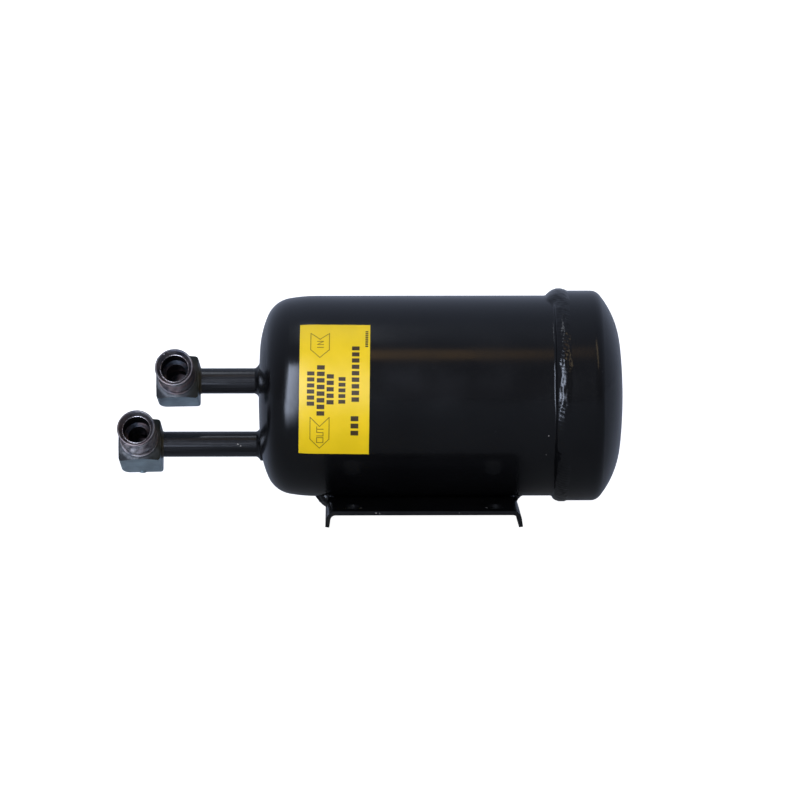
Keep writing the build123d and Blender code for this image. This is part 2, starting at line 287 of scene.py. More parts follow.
def relief_group():
    """Normal of a surface raised by noise of a given Scale to a given Height."""
    tree, given, result = new_group(
        "Relief", "Normal", "Vector", Scale="Float", Detail="Float", Height="Float")
    noise = noise_node(tree, object_place(tree), given["Scale"], given["Detail"])
    bump = add_node(tree, "ShaderNodeBump", {"Height": noise, "Distance": given["Height"]})
    tree.links.new(bump.outputs["Normal"], result)
    return tree


def specks_group():
    """Mask of small dots: the nearest cell's centre is within Size, in the Share of cells kept."""
    tree, given, result = new_group(
        "Specks", "Mask", "Float", Scale="Float", Size="Float", Share="Float")
    cells = add_node(tree, "ShaderNodeTexVoronoi", {
        "Vector": object_place(tree), "Scale": given["Scale"]}).outputs
    near = math_node(tree, "LESS_THAN", cells["Distance"], given["Size"])
    pick = add_node(tree, "ShaderNodeSeparateColor", {"Color": cells["Color"]}).outputs["Red"]
    kept = math_node(tree, "LESS_THAN", pick, given["Share"])
    tree.links.new(math_node(tree, "MULTIPLY", near, kept), result)
    return tree


def chip_and_glint_group():
    """Mask of one ragged spot, used for chip marks and painted glints: the distance from Centre,
    roughened by noise, is within Radius.
    """
    tree, given, result = new_group(
        "ChipAndGlint", "Mask", "Float", Centre="Vector", Radius="Float", Ragged="Float")
    place = object_place(tree)
    away = vector_node(tree, "DISTANCE", place, given["Centre"], "Value")
    torn = ragged(tree, away, place, 1500.0, 2.0, given["Ragged"])
    tree.links.new(math_node(tree, "LESS_THAN", torn, given["Radius"]), result)
    return tree


def reach_group():
    """Mask that rises from 0 to 1 as a point moves along Direction from Start to Start plus Fade."""
    tree, given, result = new_group(
        "Reach", "Mask", "Float", Centre="Vector", Direction="Vector", Start="Float", Fade="Float",
        Ragged="Float")
    place = object_place(tree)
    offset = vector_node(tree, "SUBTRACT", place, given["Centre"])
    along = vector_node(tree, "DOT_PRODUCT", offset, given["Direction"], "Value")
    torn = ragged(tree, along, place, 420.0, 4.0, given["Ragged"])
    past = math_node(tree, "SUBTRACT", torn, given["Start"])
    tree.links.new(math_node(tree, "DIVIDE", past, given["Fade"], clamp=True), result)
    return tree


GROUP_MAKERS = {
    "Grain": grain_group, "Relief": relief_group, "Specks": specks_group, "ChipAndGlint": chip_and_glint_group,
    "Reach": reach_group,
}


def use_group(tree, name, **inputs):
    """Places a shared node group, made the first time it is asked for, and gives its output."""
    group = bpy.data.node_groups.get(name) or GROUP_MAKERS[name]()
    return add_node(tree, "ShaderNodeGroup", inputs, node_tree=group).outputs[0]


def grain(tree, scale, detail, low=0.0, high=1.0, stretch=EVEN):
    """The shared grain: a value between low and high that follows fine noise."""
    return use_group(tree, "Grain", Scale=scale, Detail=detail, Low=low, High=high, Stretch=stretch)


def relief(tree, scale, detail, height):
    """The shared relief: the normal of a surface raised by noise."""
    return use_group(tree, "Relief", Scale=scale, Detail=detail, Height=height)


def new_material(name, **constants):
    """A material with an empty tree, its Principled shader, and constants on the shader's sockets."""
    material = bpy.data.materials.new(name)
    material.use_nodes = True
    tree = material.node_tree
    shader = tree.nodes["Principled BSDF"]
    for key, value in constants.items():
        shader.inputs[key.replace("_", " ")].default_value = value
    return material, tree, shader


def feed(tree, shader, color, roughness, normal):
    """Links a shader to its colour, its roughness and its raised grain."""
    for socket, value in (("Base Color", color), ("Roughness", roughness), ("Normal", normal)):
        tree.links.new(value, shader.inputs[socket])


def blend_colors(tree, share, low, high):
    """Mixes two colours, each a socket or a constant, by a mask."""
    mix = add_node(tree, "ShaderNodeMix", {"Factor": share, 6: low, 7: high}, data_type="RGBA")
    return mix.outputs[2]


def chipped_and_glinted(tree, color, chips_and_glints, inside):
    """A colour that gives way to another inside each spot, which has a centre and a radius; the spots
    are paint chip marks and painted glints.
    """
    for centre, radius in chips_and_glints:
        mask = use_group(tree, "ChipAndGlint", Centre=centre, Radius=radius, Ragged=radius * 1.2)
        color = blend_colors(tree, mask, color, inside)
    return color


def opaque(color, factor=1.0):
    """A colour property as red, green, blue and alpha, made lighter or darker by a factor."""
    return (color[0] * factor, color[1] * factor, color[2] * factor, 1.0)


def enamel(name, look, chips_and_glints=(), gloss=1.0, haze=1.0, drawn=False):
    """Sprayed black enamel: slight orange peel, dust specks, a cloudy sheen, and the named spots of lost
    paint and painted glints.

    Where it is drawn, its tone and sheen run in lines along X, as over a drawn tube.
    """
    material, tree, shader = new_material(name, Specular_IOR_Level=look.gloss_level)
    stretch, scale, lightest = (ALONG_X, 620.0, 6.0) if drawn else (EVEN, 26.0, 1.25)
    tone = grain(tree, scale, 3.0, stretch=stretch)
    color = blend_colors(tree, tone, opaque(look.color, 0.85), opaque(look.color, lightest))
    dust = use_group(tree, "Specks", Scale=230.0, Size=0.055, Share=0.10)
    color = blend_colors(tree, dust, color, opaque(look.dust_color))
    color = chipped_and_glinted(tree, color, chips_and_glints, opaque(look.chip_and_glint_color))
    smooth = look.roughness * gloss
    feed(tree, shader, color, grain(tree, scale * 2.3, 5.0, smooth, smooth + 0.05 * haze, stretch),
         relief(tree, 420.0, 1.0, look.peel * haze))
    return material


def port_enamel(name, look, base):
    """Thin enamel sprayed over a fitting's block: worn pale in patches, and stained by the tube."""
    material, tree, shader = new_material(name, Specular_IOR_Level=0.55)
    flux = use_group(tree, "Reach", Centre=base, Direction=(1, 0, 0), Start=3.0 * MM, Fade=8.0 * MM,
                     Ragged=5.0 * MM)
    wear = grain(tree, 210.0, 5.0, low=-1.6)
    worn = math_node(tree, "MULTIPLY", wear, math_node(tree, "SUBTRACT", 1.0, flux), clamp=True)
    spray = blend_colors(tree, flux, opaque(look.spray_color), opaque(look.flux_color))
    color = blend_colors(tree, worn, spray, opaque(look.worn_color))
    feed(tree, shader, color, grain(tree, 300.0, 4.0, look.roughness, look.roughness + 0.12),
         relief(tree, 500.0, 3.0, 0.10 * MM))
    return material


def floor_lit_face(name, look, centre):
    """Pale bare metal painted on faces that look down or right, as the floor's light on them, under a
    thin haze of enamel, which thickens above the block's centre.
    """
    material, tree, shader = new_material(name, Metallic=1.0)
    above = use_group(tree, "Reach", Centre=centre, Direction=(0, 0, 1), Start=-7.0 * MM,
                      Fade=7.0 * MM, Ragged=4.0 * MM)
    cover = math_node(tree, "MAXIMUM", above, grain(tree, 120.0, 5.0, high=0.35))
    color = blend_colors(tree, cover, opaque(look.floor_lit_face_color), opaque(look.spray_color, 3.0))
    feed(tree, shader, color, grain(tree, 400.0, 3.0, 0.32, 0.42), relief(tree, 350.0, 3.0, 0.08 * MM))
    return material


def port_steel(name, look, bright, dull, scale, roughness, marks=()):
    """Turned steel: bare and bright in patches, tarnished and oversprayed between them.

    Where marks are given, it is painted white as glints.
    """
    material, tree, shader = new_material(name, Metallic=1.0)
    tone = blend_colors(tree, grain(tree, scale, 6.0), opaque(dull), opaque(bright))
    tint = math_node(tree, "MULTIPLY", grain(tree, scale * 0.6, 3.0, low=-0.4), 0.45, clamp=True)
    color = chipped_and_glinted(tree, blend_colors(tree, tint, tone, opaque(look.tint_color)), marks, WHITE)
    feed(tree, shader, color, grain(tree, scale * 2, 4.0, roughness, roughness + 0.16),
         relief(tree, 900.0, 3.0, 0.08 * MM))
    return material


def plain_finish(name, dark, light, scale, roughness, height, metallic=0.0):
    """A finish for hidden or small parts: two tones by noise, with a fine raised grain."""
    material, tree, shader = new_material(name, Metallic=metallic)
    color = blend_colors(tree, grain(tree, scale, 4.0), opaque(dark), opaque(light))
    feed(tree, shader, color, grain(tree, scale * 2, 2.0, roughness, roughness + 0.1),
         relief(tree, scale * 3, 3.0, height))
    return material


# ------------------------------------------------------------------ sizes and colours
class DRIER_PaintLook(bpy.types.PropertyGroup):
    """Black enamel on the can, the foot and the tubes."""

    color: FloatVectorProperty(
        name="Enamel", description="Colour of the enamel", subtype="COLOR", size=3,
        default=(0.0030, 0.0033, 0.0042))
    dust_color: FloatVectorProperty(
        name="Dust", description="Colour of the dust specks", subtype="COLOR", size=3,
        default=(0.016, 0.017, 0.020))
    # Also the colour of the two painted glints at the foot's slots
    chip_and_glint_color: FloatVectorProperty(
        name="Chips", description="Colour inside the paint's chips", subtype="COLOR", size=3,
        default=(0.20, 0.20, 0.21))
    roughness: FloatProperty(
        name="Roughness", description="Roughness of the enamel", subtype="FACTOR", default=0.17)
    gloss_level: FloatProperty(
        name="Gloss", description="Strength of the enamel's reflections", subtype="FACTOR",
        default=0.48)
    peel: FloatProperty(
        name="Orange peel", description="Height of the enamel's orange peel", unit="LENGTH",
        default=0.012 * MM, precision=6)


class DRIER_BeadShape(bpy.types.PropertyGroup):
    """The weld round the cap's rim."""

    on_can: FloatProperty(
        name="On the can", description="Reach of the weld over the can", unit="LENGTH",
        default=3.3 * MM)
    on_cap: FloatProperty(
        name="On the cap", description="Reach of the weld over the cap", unit="LENGTH",
        default=4.4 * MM)
    crest: FloatProperty(
        name="Crest", description="Height of the weld above the cap's skirt", unit="LENGTH",
        default=0.45 * MM)
    pitch: FloatProperty(
        name="Ripple", description="Spacing of the weld's ripples", unit="LENGTH", default=2.1 * MM)
    ripple: FloatProperty(
        name="Ripple height", description="Height of the weld's ripples", unit="LENGTH",
        default=0.026 * MM)
    rough: FloatProperty(
        name="Streaks", description="Height of the weld's uneven streaks", unit="LENGTH",
        default=0.085 * MM)


class DRIER_PortLook(bpy.types.PropertyGroup):
    """The elbow fittings and their threads."""

    steel_color: FloatVectorProperty(
        name="Steel", description="Colour of the bare turned steel", subtype="COLOR", size=3,
        default=(0.66, 0.62, 0.60))
    blotch_color: FloatVectorProperty(
        name="Tarnish", description="Colour of the overspray on the steel", subtype="COLOR", size=3,
        default=(0.085, 0.085, 0.10))
    tint_color: FloatVectorProperty(
        name="Tint", description="Colour of the rust and copper stains on the steel",
        subtype="COLOR", size=3, default=(0.24, 0.15, 0.13))
    # Painted shade: the bore's wall is coloured dark for the shade deep inside the port
    bore_color: FloatVectorProperty(
        name="Bore", description="Colour of the oily wall inside the port", subtype="COLOR", size=3,
        default=(0.024, 0.027, 0.032))
    # Painted light: pale metal on the blocks' faces that look down or right, for the floor's light on
    # them
    floor_lit_face_color: FloatVectorProperty(
        name="Bare face", description="Colour of the blocks' bare milled faces", subtype="COLOR",
        size=3, default=(0.56, 0.68, 0.70))
    spray_color: FloatVectorProperty(
        name="Overspray", description="Colour of the thin enamel on the blocks", subtype="COLOR",
        size=3, default=(0.010, 0.012, 0.016))
    worn_color: FloatVectorProperty(
        name="Worn enamel", description="Colour where the enamel is worn thin", subtype="COLOR",
        size=3, default=(0.075, 0.085, 0.105))
    flux_color: FloatVectorProperty(
        name="Flux", description="Colour of the flux by the tubes", subtype="COLOR", size=3,
        default=(0.010, 0.011, 0.007))
    roughness: FloatProperty(
        name="Roughness", description="Roughness of the blocks", subtype="FACTOR", default=0.30)
    pitch: FloatProperty(
        name="Thread pitch", description="Distance between the thread's turns", unit="LENGTH",
        default=1.5875 * MM)
    depth: FloatProperty(
        name="Thread depth", description="Depth of the thread", unit="LENGTH", default=0.85 * MM)


class DRIER_LabelLook(bpy.types.PropertyGroup):
    """The film label and its generic print."""

    width: FloatProperty(
        name="Width", description="Width of the label along the can", unit="LENGTH",
        default=34.4 * MM)
    height: FloatProperty(
        name="Height", description="Height of the label round the can", unit="LENGTH",
        default=68.6 * MM)
    skew: FloatProperty(
        name="Skew", description="How far the label is stuck on out of true", subtype="ANGLE",
        default=np.radians(0.75))
    thickness: FloatProperty(
        name="Thickness", description="Thickness of the film", unit="LENGTH", default=0.15 * MM)
    film_color: FloatVectorProperty(
        name="Film", description="Colour of the film", subtype="COLOR", size=3,
        default=(0.83, 0.60, 0.008))
    ink_color: FloatVectorProperty(
        name="Ink", description="Colour of the print", subtype="COLOR", size=3,
        default=(0.032, 0.020, 0.005))
    line_color: FloatVectorProperty(
        name="Arrow lines", description="Colour of the arrows' thin lines", subtype="COLOR", size=3,
        default=(0.22, 0.15, 0.006))


class DRIER_StudioLook(bpy.types.PropertyGroup):
    """Floor, lights and camera."""

    elevation: FloatProperty(
        name="Elevation", description="Camera's height angle", subtype="ANGLE",
        default=np.radians(6.8))
    azimuth: FloatProperty(
        name="Azimuth", description="Camera's angle round the drier", subtype="ANGLE",
        default=np.radians(-0.8))
    distance: FloatProperty(
        name="Distance", description="Camera's distance from the can's axis", unit="LENGTH",
        default=2.18)
    lens: FloatProperty(
        name="Lens", description="Focal length", unit="CAMERA", default=196.4)
    floor_size: FloatProperty(
        name="Floor", description="Side of the square floor", unit="LENGTH", default=40.0)


LOOKS = {
    "drier_paint": DRIER_PaintLook,
    "drier_bead": DRIER_BeadShape,
    "drier_port": DRIER_PortLook,
    "drier_label": DRIER_LabelLook,
    "drier_studio": DRIER_StudioLook,
}

# The few chip marks in the enamel, and two painted glints on the foot: their places in metres and radii
# in millimetres
CHIPS_AND_GLINTS = {
    "shell": ((0.0611, -0.0479, 0.0378, 0.26), (0.0601, -0.0436, 0.0280, 0.2)),
    "end_cap": ((0.0975, -0.0120, 0.0740, 0.8), (0.0975, -0.0115, 0.0718, 0.7)),
    "mounting_foot": (
        # These first two on the foot are painted glints at its two slots, not chip marks
        (-0.0342, -0.0458, 0.0020, 1.1), (0.0348, -0.0458, 0.0020, 1.0),
        (-0.0235, -0.0575, 0.0012, 0.3), (-0.0217, -0.0575, 0.0009, 0.25),
        (0.0171, -0.0575, 0.0012, 0.2)),
    "outlet_tube": ((-0.0919, -0.0062, 0.0285, 0.42), (-0.0906, -0.0063, 0.0277, 0.3)),
}


def chips_and_glints_on(node_name):
    """The centre of each chip mark and painted glint, moved onto the node's surface, and its radius in
    metres.
    """
    placed = []
    for x, y, z, radius in CHIPS_AND_GLINTS[node_name]:
        found, point, _, _ = frame["nodes"][node_name].closest_point_on_mesh(Vector((x, y, z)))
        if not found:
            raise RuntimeError(f"{node_name} has no surface to chip")
        placed.append((point, radius * MM))
    return placed


class DRIER_OT_paint(bpy.types.Operator):
    """Enamels the can, the cap, the foot and the tubes"""

    bl_idname = "drier.paint"
    bl_label = "Enamel"

    def execute(self, context):
        look = context.scene.drier_paint
        finish_node("shell", enamel("can_enamel", look, chips_and_glints_on("shell")))
        finish_node("end_cap", enamel("cap_enamel", look, chips_and_glints_on("end_cap")))
        # The foot's spots include two painted glints at its slots
        finish_node("mounting_foot", enamel("foot_enamel", look, chips_and_glints_on("mounting_foot"), gloss=1.2))
        tube = enamel("tube_enamel", look, chips_and_glints_on("outlet_tube"), gloss=0.9, haze=2.4, drawn=True)
        for name in ("inlet_tube", "outlet_tube"):
            finish_node(name, tube)
        return {"FINISHED"}


# ------------------------------------------------------------------ welds
def around_can(x, radius, angle):
    """Points at x along the can, at a radius from its axis and an angle up from the near side."""
    return np.stack([x, -radius * np.cos(angle), AXIS_Z + radius * np.sin(angle)], axis=-1)


# The cap weld's unevenness: seed, number of waves, and their lowest and highest rates
TOE_WAVES, LIP_WAVES, CREST_WAVES = (3, 9, 0.5, 3.0), (4, 9, 0.5, 3.5), (9, 5, 1.0, 4.0)
RIPPLE_WAVES, STREAK_WAVES = (5, 7, 1.0, 5.0), (6, 28, 0.9, 3.1)

# The weld's lump on top: its middle and its half width round the can
LUMP_ANGLE, LUMP_WIDTH = np.radians(87), np.radians(14)


def cap_bead(shape):
    """Skin of the weld round the cap's rim.

    Across the weld, the paint swells up to its toe, an S curve lifts its edge off the can, and two
    parabolas meet at its crest and fall to its lip on the cap. Around the can, the toe and lip
    wander, the crest carries uneven streaks and faint ripples that lean and waver and fade out at
    both edges, and the start and end lie on each other as one lump near the top, which fills the
    step and calms the ripples. The underside is sunk in the metal, and both edges are tucked in.
    """
    around, across, crest_share, ring_scale, crowding = 1500, 34, 0.6, 12, 1.25
    lean, waver, streak_rate, fade_in, fade_out = 1.1, 1.6, 0.42, 1.6, 6
    lump_fills, lump_calms, curve_run = 0.9, 0.6, 2.2
    edge, skirt, swelling, lift, sunk = np.array((0.55, 1.1, 0.12, 1.15, 0.35)) * MM
    toe_tuck, lip_tuck = np.array((0.06, 0.04)) * MM
    toe_lump, lip_lump, crest_lump = np.array((3.5, 0.2, 0.78)) * MM
    toe_wander, lip_wander, crest_wander = np.array((0.12, 0.3, 0.1)) * MM
    angle = np.linspace(-np.pi, np.pi, around, endpoint=False)[:, None]
    share = np.linspace(0, 1, across)[None, :] ** crowding
    run = angle * CAP_RADIUS / MM
    lump = np.exp(-(((angle - LUMP_ANGLE) / LUMP_WIDTH) ** 4))
    ring = np.cos(angle) * ring_scale, np.sin(angle) * ring_scale

    toe = CAP_RIM_X - shape.on_can - toe_lump * lump - toe_wander * wobble(*ring, *TOE_WAVES)
    lip = CAP_RIM_X + shape.on_cap - lip_lump * lump + lip_wander * wobble(*ring, *LIP_WAVES)
    start = toe - edge - skirt
    x = start + (lip - start) * share
    crest_x = toe + (lip - toe) * crest_share
    crest = (CAP_RADIUS + shape.crest
             + (crest_lump + crest_wander * wobble(*ring, *CREST_WAVES)) * lump)
    step = lift * (1 - lump_fills * lump)
    low = CAN_RADIUS - toe_tuck
    swell = np.clip((x - start) / skirt, 0, 1)
    rise = np.clip((x - toe + edge) / (curve_run * edge), 0, 1)
    on_left = np.clip((crest_x - x) / (crest_x - toe), 0, 1)
    on_right = np.clip((x - crest_x) / (lip - crest_x), 0, 1)
    radius = (low + swelling * swell**2 + step * rise**2 * (3 - 2 * rise)
              + (crest - low - step - swelling) * (1 - on_left**2)
              - (crest - CAP_RADIUS + lip_tuck) * on_right**2)

    length = (x - toe) / MM
    ends = np.clip(length / fade_in, 0, 1) * np.clip((1 - share) * fade_out, 0, 1)
    fade = ends * (1 - lump_calms * lump)
    ripple = np.sin(2 * np.pi * run * MM / shape.pitch + lean * length
                    + waver * wobble(*ring, *RIPPLE_WAVES))
    streaks = wobble(run * streak_rate, length, *STREAK_WAVES)
    radius = radius + fade * (shape.ripple * ripple + shape.rough * streaks)

    x = np.concatenate([x, lip - sunk, CAP_RIM_X + 0 * toe, toe + sunk], axis=1)
    ones = np.ones_like(toe)
    radius = np.concatenate([
        radius, (CAP_RADIUS - sunk) * ones, (CAN_RADIUS - sunk) * ones, (CAN_RADIUS - sunk) * ones,
    ], axis=1)
    points = around_can(x, radius, np.broadcast_to(angle, x.shape)).reshape(-1, 3)
    faces = grid_faces(around, across + 3, wrap_rows=True, wrap_columns=True)
    middle = points[faces].mean(axis=1)
    rim = around_can(np.full(len(middle), CAP_RIM_X), CAP_RADIUS,
                     np.arctan2(middle[:, 2] - AXIS_Z, -middle[:, 1]))
    return points, turned_out(points, faces, rim)


class DRIER_OT_cap_weld(bpy.types.Operator):
    """Lays the rippled weld round the cap's rim"""

    bl_idname = "drier.cap_weld"
    bl_label = "Cap weld"

    def execute(self, context):
        bead = cap_bead(context.scene.drier_bead)
        paint = enamel("weld_enamel", context.scene.drier_paint, gloss=1.05, haze=0.8)
        add_piece("cap_weld_bead", *bead, paint, "gloss_black", ("cap_weld",), crease=60)
        return {"FINISHED"}


# Each foot weld: its side, its leg along the can, its drop and its bulge in millimetres, and its seed
FOOT_WELDS = {"head": (-1, 5.6, 6.2, 0.5, 21), "cap": (1, 3.2, 3.6, -0.5, 31)}
FOOT_WELD_HALF_ARC = np.radians(13)

# The foot welds' unevenness: number of waves, and their lowest and highest rates
FILLET_TOE_WAVES, FILLET_LUMP_WAVES = (6, 0.5, 2.0), (14, 0.8, 3.2)

# How far the foot's flanges lean out past its plate
FLANGE_RUN = 1.08 * MM


def parabola(start, pull, end, share):
    """Points on a quadratic curve from start to end, drawn towards pull between them."""
    return start * (1 - share) ** 2 + pull * 2 * share * (1 - share) + end * share**2


def foot_fillet(side, leg, drop, bulge, seed):
    """Skin of the weld between the can's belly and one end of the foot.

    Across it, a parabola goes from the toe on the can to the foot's bent end, and two more points
    close the section inside the metal. Along it, the section follows the can's curve and shrinks
    to a point at both ends, as a power of one minus the square of the share of the arc.
    """
    along, across, taper = 110, 18, 0.7
    toe_wander, lump_height, lump_stretch = 0.10, 0.154, 8
    in_foot, in_can = (2.6, 0.9), (0.4, 0.4)
    face_x = side * (FOOT_HIGH.x - FLANGE_RUN)
    swing = np.linspace(-1, 1, along)[:, None]
    angle = swing * FOOT_WELD_HALF_ARC - np.pi / 2
    size = np.sqrt(np.clip(1 - swing**2, 0, 1)) ** taper * MM
    share = np.linspace(0, 1, across)[None, :]
    run = angle * CAN_RADIUS / MM
    wander = toe_wander * wobble(run, 0 * run, seed, *FILLET_TOE_WAVES)
    toe_x = face_x + side * leg * size * (1 + wander)
    low = CAN_RADIUS + drop * size
    pull_x = (toe_x + face_x) / 2 + side * bulge * size * 2
    pull = (CAN_RADIUS + low) / 2 + bulge * size * 2
    uneven = wobble(run, share * lump_stretch, seed + 1, *FILLET_LUMP_WAVES)
    lumps = lump_height * size * np.sin(np.pi * share) * uneven
    x = parabola(toe_x, pull_x, face_x, share) + side * lumps
    radius = parabola(CAN_RADIUS, pull, low, share) + lumps
    x = np.concatenate([
        x, face_x - side * in_foot[0] * size, toe_x - side * in_can[0] * size], axis=1)
    radius = np.concatenate([
        radius, CAN_RADIUS + in_foot[1] * size, CAN_RADIUS - in_can[1] * size], axis=1)
    return tube_of_rings(around_can(x, radius, np.broadcast_to(angle, x.shape)))


class DRIER_OT_foot_welds(bpy.types.Operator):
    """Lays the two uneven welds between the can and the foot's ends"""

    bl_idname = "drier.foot_welds"
    bl_label = "Foot welds"

    def execute(self, context):
        paint = enamel("foot_weld_enamel", context.scene.drier_paint, haze=1.5)
        for end, sizes in FOOT_WELDS.items():
            add_piece(end + "_foot_fillet", *foot_fillet(*sizes), paint, "gloss_black",
                      (end + "_end_foot_weld",), crease=60)
        return {"FINISHED"}


# ------------------------------------------------------------------ ports
Boss = namedtuple("Boss", "base axis radius length up right")

# Which finish a port's face takes, by its place in the list of materials
BLOCK, WALL, MOUTH, LIP, BORE, FACE, STEP = range(7)

# Outline of a port's mouth, from its rim to its bore: millimetres in from the boss's wall, and down.
# The lip is the rings of faces after these of its points.
MOUTH_STEPS = (
    (0.0, 0.5), (0.12, 0.15), (0.4, 0.0), (0.8, 0.0), (0.95, 0.12), (1.05, 0.42), (1.2, 0.5),
    (2.3, 2.4), (2.36, 2.5), (2.4, 2.36), (2.52, 2.3), (2.66, 2.38), (2.725, 2.9),
)
LIP_RINGS = (8, 9, 10, 11)

# How far the rim stands past the thread, how far below the thread the bore's finish reaches, and the
# least width of the bore's ledge
MOUTH_RISE, BORE_DEPTH, LEDGE_WIDTH = np.array((0.5, 16.0, 1.0)) * MM

# How near counts as on the wall and as in the bore, and how squarely a face must look its way to be
# painted pale for the floor's light
TOUCHING, NEAR_BORE, FACING = 0.01 * MM, 0.05 * MM, 0.7

# The thread's plain neck and run-in at the block, its lead at the rim, its start off the block's
# face, and how steep its flanks are and where they begin
NECK, RUN_IN, LEAD, ROOT = np.array((1.3, 0.7, 0.25, 0.05)) * MM
FLANK_SLOPE, FLANK_START = 2.9, 0.75

# Share of the bare steel's tone that each boss has, and each mouth's lip, its funnel and its ledge
WALL_SHADES = {"inlet": 0.24, "outlet": 0.72}
LIP_SHADE, MOUTH_SHADE, STEP_SHADES = 1.2, 0.36, (0.16, 0.08)

# How much lighter than its own colour the tarnish in the mouth is, and the bore's painted shade at its
# lightest
TARNISH_SHADE, BORE_SHADE_LIFT = 1.1, 2

# Places in millimetres along a boss, above it and to its right: the white glints painted on the
# inlet's rim, with their radii, the middle of a block, and the drip of paint, with its half sizes
RIM_GLINTS = ((15.4, 6.56, -4.756, 0.55), (15.4, 7.06, -3.856, 0.40))
BLOCK_MIDDLE = (-8.0, 0.0, 0.0)
DRIP_PLACE, DRIP_HALF_SIZES = (-19.0, -10.75, 0.1), (1.7, 1.1, 0.6)


def boss_of(side):
    """A boss's foot, direction, radius, threaded length, and the ways up and right across it."""
    mount = MOUNTS[side + "_thread"]
    axis = Vector(mount["axis"]).normalized()
    length = mount["dims"]["length_mm"] * MM
    right = (Vector((1, 0, 0)) - axis * axis.x).normalized()
    base = Vector(mount["pos_m"]) - axis * length / 2
    return Boss(base, axis, mount["dims"]["r_mm"] * MM, length, axis.cross(right), right)


def off_boss(boss, along, up, right):
    """The point that many millimetres along a boss from its foot, above it and to its right."""
    return boss.base + (boss.axis * along + boss.up * up + boss.right * right) * MM


def merged_node(name):
    """A node's points with doubles joined, and its triangles."""
    mesh = frame["nodes"][name].data
    points = np.empty(len(mesh.vertices) * 3)
    mesh.vertices.foreach_get("co", points)
    mesh.calc_loop_triangles()
    corners = np.empty(len(mesh.loop_triangles) * 3, dtype=np.int64)
    mesh.loop_triangles.foreach_get("vertices", corners)
    keys, back = np.unique(np.round(points.reshape(-1, 3) / MICRON), axis=0, return_inverse=True)
    faces = back.ravel()[corners].reshape(-1, 3)
    whole = (faces != np.roll(faces, 1, axis=1)).all(axis=1)
    return keys * MICRON, faces[whole]


def cut_fitting(side, boss, bore_radius, lip_height):
    """The fitting's points and faces without its boss's plain wall and mouth, and their zones.

    A face's zone comes from how far it is from the boss's axis and along it, and from whether it
    looks down or to the right, as the block's two faces painted pale for the floor's light do.
    """
    points, faces = merged_node(side + "_fitting")
    offset = points - np.array(boss.base)
    height = offset @ np.array(boss.axis)
    away = np.linalg.norm(offset - height[:, None] * np.array(boss.axis), axis=1)
    on_wall = np.abs(away - boss.radius) < TOUCHING
    wall = on_wall[faces].all(axis=1) & (np.ptp(height[faces], axis=1) > boss.length / 2)
    if not wall.any():
        raise RuntimeError(f"the {side} boss has no plain wall to thread")
    mouth = height[faces].min(axis=1) > lip_height - TOUCHING
    kept = faces[~wall & ~mouth]
    bore = ((away[kept].max(axis=1) < bore_radius + NEAR_BORE)
            & (height[kept].max(axis=1) > -BORE_DEPTH))
    ledge = bore & (np.ptp(away[kept], axis=1) > LEDGE_WIDTH) & (height[kept].min(axis=1) > 0)
    a, b, c = (points[kept[:, corner]] for corner in range(3))
    normal = np.cross(b - a, c - a)
    least = FACING * np.linalg.norm(normal, axis=1)
    # Faces that look down or right take the pale finish painted as the floor's light
    bare = (normal @ np.array(boss.up) < -least) | (normal @ np.array(boss.right) > least)
    return (points, kept), np.select([ledge, bore, bare], [STEP, BORE, FACE], BLOCK)


def swept_round(boss, turn, height, radius):
    """Points round a boss: each at a turn about its axis, a height along it and a radius from it."""
    across = Vector((1, 0, 0)).cross(boss.axis).normalized()
    other = boss.axis.cross(across)
    ring = np.cos(turn)[..., None] * np.array(across) + np.sin(turn)[..., None] * np.array(other)
    along = height[..., None] * np.array(boss.axis)
    return (np.array(boss.base) + along + radius[..., None] * ring).reshape(-1, 3)


def thread_skin(boss, pitch, depth, around=120, rows_per_pitch=14):
    """Skin of a screw thread round a boss.

    The radius depends on the turn and the height: the height in pitches less the turn gives a
    place in the profile, a flat crest, a flank down, a flat root and a flank up. A plain neck
    joins it to the block, and the last turns rise to full width at the boss's chamfer.
    """
    rows = int(boss.length / pitch * rows_per_pitch)
    turn = np.linspace(0, 2 * np.pi, around, endpoint=False)[None, :]
    height = np.linspace(0, boss.length, rows)[:, None]
    place = (height / pitch - turn / (2 * np.pi)) % 1.0
    crest = np.clip(np.abs(place - 0.5) * FLANK_SLOPE - FLANK_START, 0, 1)
    past_neck = np.clip((height - NECK) / RUN_IN, 0, 1)
    ends = np.clip((boss.length - height) / LEAD, 0, 1) * np.clip(height / ROOT, 0, 1)
    points = swept_round(boss, turn, height, boss.radius - depth * (1 - crest * past_neck) * ends)
    faces = grid_faces(rows, around, wrap_columns=True)
    offset = points[faces].mean(axis=1) - np.array(boss.base)
    hearts = np.array(boss.base) + np.outer(offset @ np.array(boss.axis), boss.axis)
    return points, turned_out(points, faces, hearts)


def turned_skin(boss, profile, around=120):
    """Open skin turned round a boss: each point of the profile, a radius and a height, swept round."""
    turn = np.linspace(0, 2 * np.pi, around, endpoint=False)[None, :]
    radius, height = profile.T[..., None]
    faces = grid_faces(len(profile), around, wrap_columns=True)[:, ::-1]
    return swept_round(boss, turn, height, radius), faces


def blob(centre, half_sizes, rows=13, around=24):
    """Closed ellipsoid from two angles: pole to pole, and round the upright axis."""
    down = np.linspace(0, np.pi, rows)[:, None]
    turn = np.linspace(0, 2 * np.pi, around, endpoint=False)[None, :]
    unit = np.stack([np.sin(down) * np.cos(turn), np.sin(down) * np.sin(turn),
                     np.cos(down) * np.ones_like(turn)], axis=-1)
    return tube_of_rings(np.array(centre) + unit * np.array(half_sizes) * MM)


